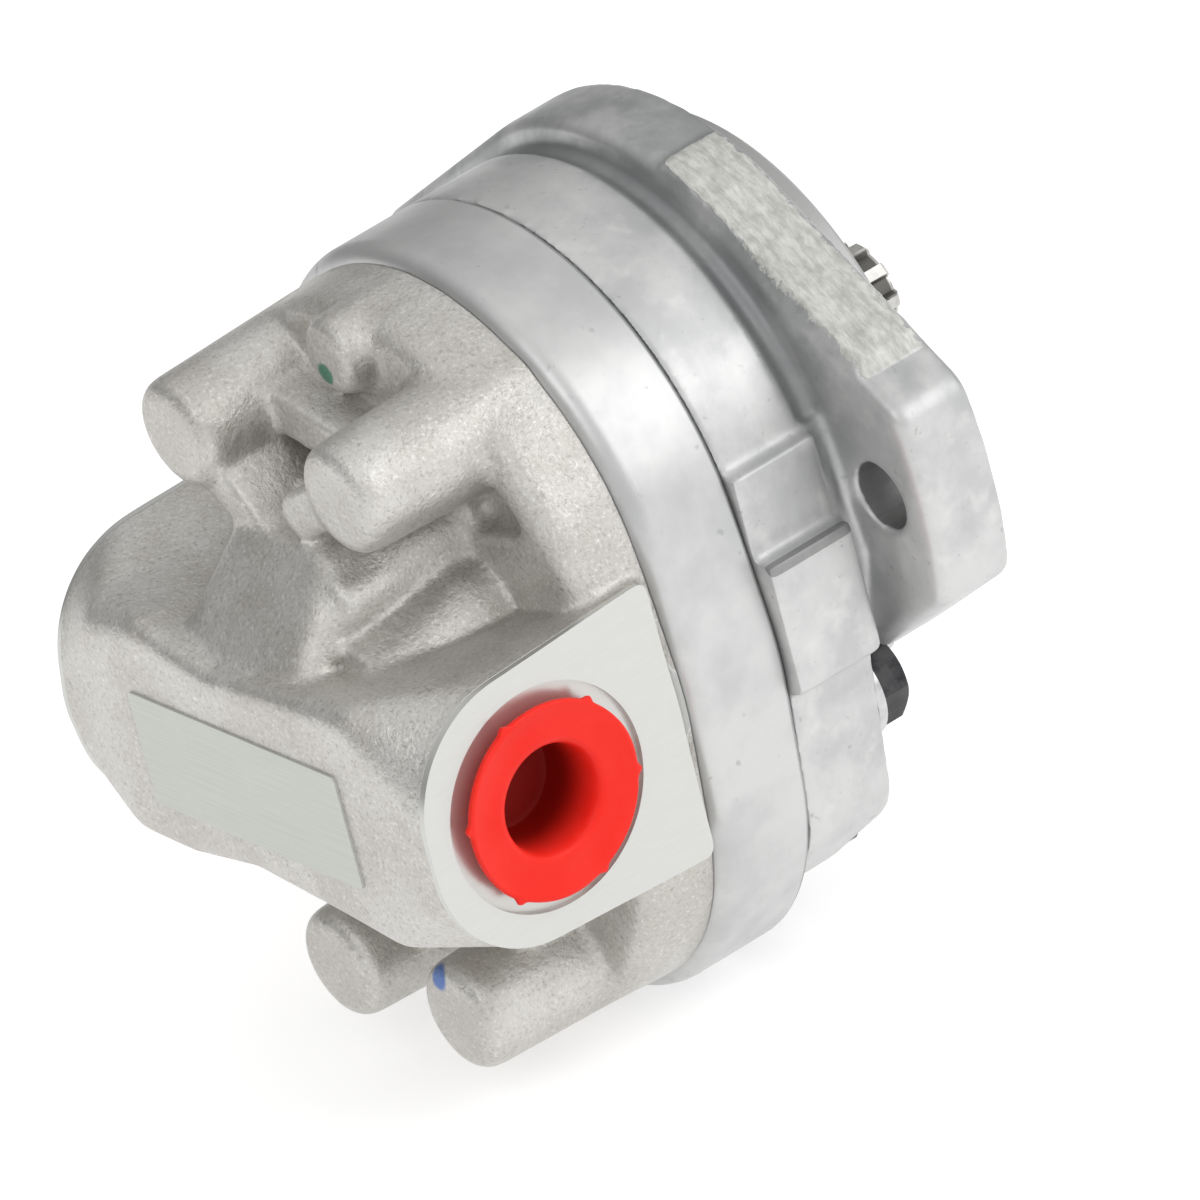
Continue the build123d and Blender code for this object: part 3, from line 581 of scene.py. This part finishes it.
def relax(mesh, rounds):
    """Rounds edges and inside corners by moving each point towards its neighbours."""
    count = len(mesh.vertices)
    points = np.empty(count * 3)
    mesh.vertices.foreach_get("co", points)
    points = points.reshape(-1, 3)
    ends = np.empty(len(mesh.edges) * 2, dtype=np.int64)
    mesh.edges.foreach_get("vertices", ends)
    first, second = ends[0::2], ends[1::2]
    degree = np.maximum(np.bincount(ends, minlength=count), 1)[:, None]
    for _ in range(rounds):
        total = np.empty_like(points)
        for axis in range(3):
            total[:, axis] = (np.bincount(first, weights=points[second, axis], minlength=count)
                              + np.bincount(second, weights=points[first, axis], minlength=count))
        points += 0.5 * (total / degree - points)
    mesh.vertices.foreach_set("co", points.ravel())
    mesh.update()


def smooth(mesh, sharp_angle):
    """Smooth shading, with edges over an angle in degrees kept crisp."""
    mesh.polygons.foreach_set("use_smooth", [True] * len(mesh.polygons))
    mesh.set_sharp_from_angle(angle=math.radians(sharp_angle))


def dress(obj, node, body):
    """Gives a piece the material, the body and the place of the CAD node that it stands for."""
    obj.data.materials.clear()
    obj.data.materials.append(materials[node_slots[node]])
    smooth(obj.data, 38)
    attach(obj, body)
    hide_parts(node)


def cast_piece(name, node, voxel, rounds, stretch, fillers, cuts, grooves=(), roughen=None):
    """A cast piece: the CAD node's blank with its holes filled, its edges rounded, then machined."""
    obj = bpy.data.objects.new(name, frame["nodes"][node].data.copy())
    scene.collection.objects.link(obj)
    for vert in obj.data.vertices:
        vert.co = stretch(vert.co / MM) * MM
    merge(obj.data, fillers)
    remesh(obj, voxel)
    if grooves:
        cut(obj, grooves)
        remesh(obj, voxel)
    relax(obj.data, rounds)
    if roughen:
        roughen(obj.data)
    cut(obj, cuts)
    dress(obj, node, "pump_body")


# Rear cover
REAR_FILL_START = -JOINT_REAR + 2.0
REAR_CUT_START = -JOINT_REAR + 1.0
PORT_ZONE_RADIUS = 20.7
SLOPE_CENTRE_X = 18.0
SLOPE_RADIUS = 10.0
SLOPE_STEPS = [(69.0, 6.6), (72.0, 5.7), (75.0, 4.9), (78.0, 4.2), (81.0, 3.6), (84.0, 3.0), (87.0, 2.4)]


def stretch_rear(point):
    """Adds metal in front of the joint face, the pads and the spot faces, for the cuts to take off."""
    if point.y > -JOINT_REAR - 1.9:
        point.y = -JOINT_REAR + 2.5
    on_port = math.hypot(point.y + PORT_DEPTH, point.z - PORT_Z) < PORT_ZONE_RADIUS
    if abs(point.x) > (SPOT_X - 0.1 if on_port else PAD_X - 0.05):
        point.x = math.copysign(PAD_X + 3.0, point.x)
    return point


port_axis = (-PORT_DEPTH, PORT_Z)
rear_fill = [oval(28.0, -REAR_FILL_START, 56.0)]
rear_fill += row_along_y(GEAR_AXES, 15.0, REAR_FILL_START, -69.5, 48)
rear_fill += row_along_y(PASSAGES, 6.0, REAR_FILL_START, -78.0, 32)
rear_fill += row_along_y(TOP_SCREWS + FOOT_SCREWS, 5.2, REAR_FILL_START, -77.5, 24)
rear_fill += row_along_y(SHOULDER_SCREWS + WAIST_SCREWS, 5.0, REAR_FILL_START, -62.6, 24)
rear_fill += row_along_y(DOWELS, 4.0, REAR_FILL_START, -59.0, 24)
rear_fill += [along_x(port_axis, 14.0, side * 16.0, side * 48.0, 48) for side, bore, spot in PORTS]
rear_fill += [along_x(port_axis, spot + 0.7, side * 42.0, side * 48.5, 64) for side, bore, spot in PORTS]

# The casting slopes smoothly from the saddle down to the port boss: each step ends further back and lower
for reach, top in SLOPE_STEPS:
    rear_fill.append(along_y((SLOPE_CENTRE_X, top - SLOPE_RADIUS), SLOPE_RADIUS, -58.0, -reach, 48))

rear_cuts = [block((-80, -JOINT_REAR, -120), (80, 0, 80)),
             block((PAD_X, -130, -120), (80, 0, 80)),
             block((-80, -130, -120), (-PAD_X, 0, 80))]
for (side, bore, spot), passage in zip(PORTS, PASSAGES):
    rear_cuts.append(along_x(port_axis, spot, side * SPOT_X, side * 60.0, 128))
    rear_cuts.append(along_x(port_axis, bore, side * (PAD_X - 28.0), side * 60.0, 96))
    rear_cuts.append(along_y(passage, PASSAGE_RADIUS, REAR_CUT_START, -PORT_DEPTH, 48))
rear_cuts += row_along_y(GEAR_AXES, BUSH_SEAT_RADIUS, REAR_CUT_START, -68.05, 96)
rear_cuts += row_along_y(TOP_SCREWS + FOOT_SCREWS, TAPPED_HOLE_RADIUS, REAR_CUT_START, -75.5, 36)
rear_cuts += row_along_y(SHOULDER_SCREWS + WAIST_SCREWS, TAPPED_HOLE_RADIUS, REAR_CUT_START, -61.5, 36)
rear_cuts += row_along_y(DOWELS, DOWEL_HOLE_RADIUS, REAR_CUT_START, -58.0, 36)

cast_piece("rear_cover_casting", "rear_cover", 0.7, 9, stretch_rear, rear_fill, rear_cuts)

# Front cover: the pilot is a turned disc of its own
FRONT_CUT_START = -JOINT_FRONT - 1.0
UPPER_SCREWS = TOP_SCREWS + SHOULDER_SCREWS
LOWER_SCREWS = WAIST_SCREWS + FOOT_SCREWS

# Limits of the gate patch on the rim, in mm and in degrees round the shaft
GATE_LOW_X = 12.0
GATE_LOW_Z = 15.0
GATE_REAR = -13.2
GATE_FRONT = -0.5
GATE_RADIUS = 48.6
GATE_START = 21.0
GATE_END = 73.0
LUMP_HEIGHT = 0.22
LUMP_SCALE = 0.45


def stretch_front(point):
    """Brings the joint to one plane and takes the pilot off."""
    if point.y < -JOINT_FRONT + 1.9:
        point.y = -JOINT_FRONT
    if point.y > 0.0 and math.hypot(point.x, point.z) < PILOT_RADIUS + 1.0:
        point.y = 0.0
    return point


def roughen_gate(mesh):
    """Torn, lumpy surface on the gate patch."""
    for vert in mesh.vertices:
        point = vert.co / MM
        if point.x < GATE_LOW_X or point.z < GATE_LOW_Z or not GATE_REAR <= point.y <= GATE_FRONT:
            continue
        angle = math.degrees(math.atan2(point.z, point.x))
        if math.hypot(point.x, point.z) < GATE_RADIUS or not GATE_START < angle < GATE_END:
            continue
        lump = perlin.fractal(point * LUMP_SCALE, 0.8, 2.1, 4)
        vert.co += vert.normal * (LUMP_HEIGHT * lump - 0.02) * MM
    mesh.update()


def pilot_cuts():
    """Seal recess, its ring groove and the pockets of the screw heads."""
    holes = [along_y((0, 0), 16.0, -5.0, 9.0, 128), along_y((0, 0), 17.0, 2.0, 3.5, 128)]
    return holes + row_along_y(UPPER_SCREWS, HEAD_POCKET_RADIUS, -9.5, 9.0, 64)


front_fill = [along_y((0, 0), 19.0, 0.0, -JOINT_FRONT, 48)]
front_fill += [along_y((0, -AXIS_DISTANCE), 15.0, -14.0, -JOINT_FRONT, 48)]
front_fill += row_along_y(UPPER_SCREWS, 7.6, 0.0, -JOINT_FRONT, 32)
front_fill += row_along_y(LOWER_SCREWS, 5.2, -18.0, -JOINT_FRONT, 32)
front_fill += row_along_y(DOWELS, 3.6, -23.5, -JOINT_FRONT, 24)

front_cuts = pilot_cuts()
front_cuts += [along_y((0, 0), 12.0, -16.0, -4.0, 96)]
front_cuts += row_along_y(GEAR_AXES, BUSH_SEAT_RADIUS, FRONT_CUT_START, -14.95, 96)
front_cuts += row_along_y(UPPER_SCREWS, CLEARANCE_HOLE_RADIUS, FRONT_CUT_START, -8.0, 36)
front_cuts += row_along_y(LOWER_SCREWS, CLEARANCE_HOLE_RADIUS, FRONT_CUT_START, -16.0, 36)
front_cuts += row_along_y(DOWELS, DOWEL_HOLE_RADIUS, FRONT_CUT_START, -25.0, 36)
front_cuts += row_along_y([(BOLT_X, 0), (-BOLT_X, 0)], BOLT_HOLE_RADIUS, -16.0, 2.0, 72)
flange_groove = bent_bar(46.0, 15.7, 2.4, 15.0, 165.0)

cast_piece("front_cover_casting", "front_cover", 0.6, 5, stretch_front, front_fill, front_cuts,
           grooves=[flange_groove], roughen=roughen_gate)

pilot = mesh_object("front_cover_pilot", chamfered_disc(PILOT_RADIUS, -0.5, PILOT_HEIGHT, 0.8))
cut(pilot, pilot_cuts())
dress(pilot, "front_cover", "pump_body")

# Port plugs: a hollow shank under a thin dished flange, with six pips left by the mould round its rim
PIP_COUNT = 6
PIP_ANGLE = math.radians(-10.0)
PIP_HALF_WIDTH = math.radians(2.6)
PIP_HEIGHT = 0.75
PLUG_RIM_INSET = 2.3


def pip(angle):
    """Height of the pips at an angle round the plug, from 0 to 1."""
    pitch = 2 * math.pi / PIP_COUNT
    off = (angle - PIP_ANGLE + pitch / 2) % pitch - pitch / 2
    return math.exp(-(off / PIP_HALF_WIDTH) ** 2)


def port_plug(label, side, bore, spot, steps=240):
    shank = bore - PLUG_CLEARANCE
    hollow = plug_hollow(bore)
    rim = spot - PLUG_RIM_INSET
    # Each point of the profile: height over the spot face, radius, and how much of a pip it carries
    profile = [(-11.0, shank - 1.2, 0), (-10.6, shank - 0.5, 0), (-9.8, shank - 0.1, 0), (-8.0, shank, 0),
               (0.0, shank, 0), (0.0, bore + 0.6, 0), (0.5, bore + 1.0, 0), (0.9, bore + 1.6, 0),
               (1.9, rim - 0.5, 0.2), (2.2, rim - 0.1, 0.9), (2.6, rim, 1), (3.0, rim - 0.1, 1),
               (3.2, rim - 0.4, 0.4), (3.15, rim - 0.8, 0), (2.7, rim - 2.0, 0), (2.6, hollow + 2.4, 0),
               (2.7, hollow + 1.2, 0), (2.5, hollow + 0.4, 0), (2.0, hollow, 0), (1.0, hollow - 0.25, 0),
               (-0.4, hollow - 0.3, 0), (-8.4, hollow - 0.6, 0), (-9.2, hollow - 1.0, 0),
               (-9.5, hollow - 2.0, 0)]
    rings = []
    for height, radius, share in profile:
        ring = []
        for step in range(steps):
            angle = 2 * math.pi * step / steps
            wave = 0.08 * math.sin(3 * angle + 1.0) + 0.05 * math.sin(7 * angle)
            reach = radius + share * (PIP_HEIGHT * pip(angle) + wave)
            across = -PORT_DEPTH + reach * math.cos(angle)
            ring.append((side * (SPOT_X + height), across, PORT_Z + reach * math.sin(angle)))
        rings.append(ring)
    plug = mesh_object(label + "_plug_moulding", skin(rings))
    dress(plug, label + "_plug", label + "_plug_body")


for label, (side, bore, spot) in zip(("outlet", "inlet"), PORTS):
    port_plug(label, side, bore, spot)

# Smooth shading of the turned and moulded nodes, with crisp edges kept
for obj in frame["nodes"].values():
    smooth(obj.data, 32)

# Floor: white paper that glows for the camera and in reflections, and lights nothing
FLOOR_GAP = 0.0008
FLOOR_HALF = 4
floor_z = cad_low.z - FLOOR_GAP
corners = [(-1, -1), (1, -1), (1, 1), (-1, 1)]
floor_mesh = bpy.data.meshes.new("floor")
floor_mesh.from_pydata([(x * FLOOR_HALF, y * FLOOR_HALF, floor_z) for x, y in corners], [], [(0, 1, 2, 3)])
floor = bpy.data.objects.new("floor", floor_mesh)
scene.collection.objects.link(floor)
floor_material, tree = new_material("floor_paper")
paper = noise(tree, object_coords(tree), 40.0, 3.0)
diffuse = add_node(tree, "ShaderNodeBsdfDiffuse")
feed(tree, mix_color(tree, paper, (0.86, 0.86, 0.86), (0.88, 0.88, 0.88)), diffuse.inputs["Color"])
glow = add_node(tree, "ShaderNodeEmission", in_Strength=0.48)
glowing = add_node(tree, "ShaderNodeAddShader")
feed(tree, diffuse.outputs[0], glowing.inputs[0])
feed(tree, glow.outputs[0], glowing.inputs[1])
rays = add_node(tree, "ShaderNodeLightPath").outputs
bounced = math_node(tree, "MAXIMUM", rays["Is Glossy Ray"], rays["Is Transmission Ray"])
seen = math_node(tree, "MAXIMUM", rays["Is Camera Ray"], bounced)
out = add_node(tree, "ShaderNodeOutputMaterial")
feed(tree, mix_shader(tree, seen, diffuse.outputs[0], glowing.outputs[0]), out.inputs["Surface"])
floor_mesh.materials.append(floor_material)

# Room: the camera sees plain white, and the part is lit by a room that is brightest from the upper right
world = bpy.data.worlds.new("studio")
scene.world = world
world.use_nodes = True
tree = world.node_tree
tree.nodes.clear()
toward = add_node(tree, "ShaderNodeVectorMath", operation="DOT_PRODUCT")
toward.inputs[1].default_value = (UP * 0.65 + RIGHT * 0.25 + BACK * 0.65).normalized()
feed(tree, add_node(tree, "ShaderNodeTexCoord").outputs["Generated"], toward.inputs[0])
room = ramp(tree, toward.outputs["Value"], -0.5, 1.0)
fill = add_node(tree, "ShaderNodeBackground", in_Strength=1.0)
feed(tree, mix_color(tree, room, (0.20, 0.20, 0.20), (0.95, 0.95, 0.94)), fill.inputs["Color"])
white = add_node(tree, "ShaderNodeBackground", in_Color=(1, 1, 1, 1), in_Strength=1.0)
by_camera = add_node(tree, "ShaderNodeLightPath").outputs["Is Camera Ray"]
out = add_node(tree, "ShaderNodeOutputWorld")
feed(tree, mix_shader(tree, by_camera, fill.outputs[0], white.outputs[0]), out.inputs["Surface"])


# Lamps
def area_light(name, offset, size, power):
    """Disc lamp at an offset from the camera's target, turned towards it."""
    data = bpy.data.lights.new(name, "AREA")
    data.shape = "DISK"
    data.size = size
    data.energy = power
    obj = bpy.data.objects.new(name, data)
    scene.collection.objects.link(obj)
    obj.location = TARGET + offset
    obj.rotation_mode = "QUATERNION"
    obj.rotation_quaternion = offset.to_track_quat("Z", "Y")


area_light("key", UP * 0.5 + RIGHT * 0.7 + BACK * 0.6, 0.8, 2.2)
area_light("side", BACK * 0.9 - RIGHT * 0.5 + UP * 0.1, 0.5, 0.9)
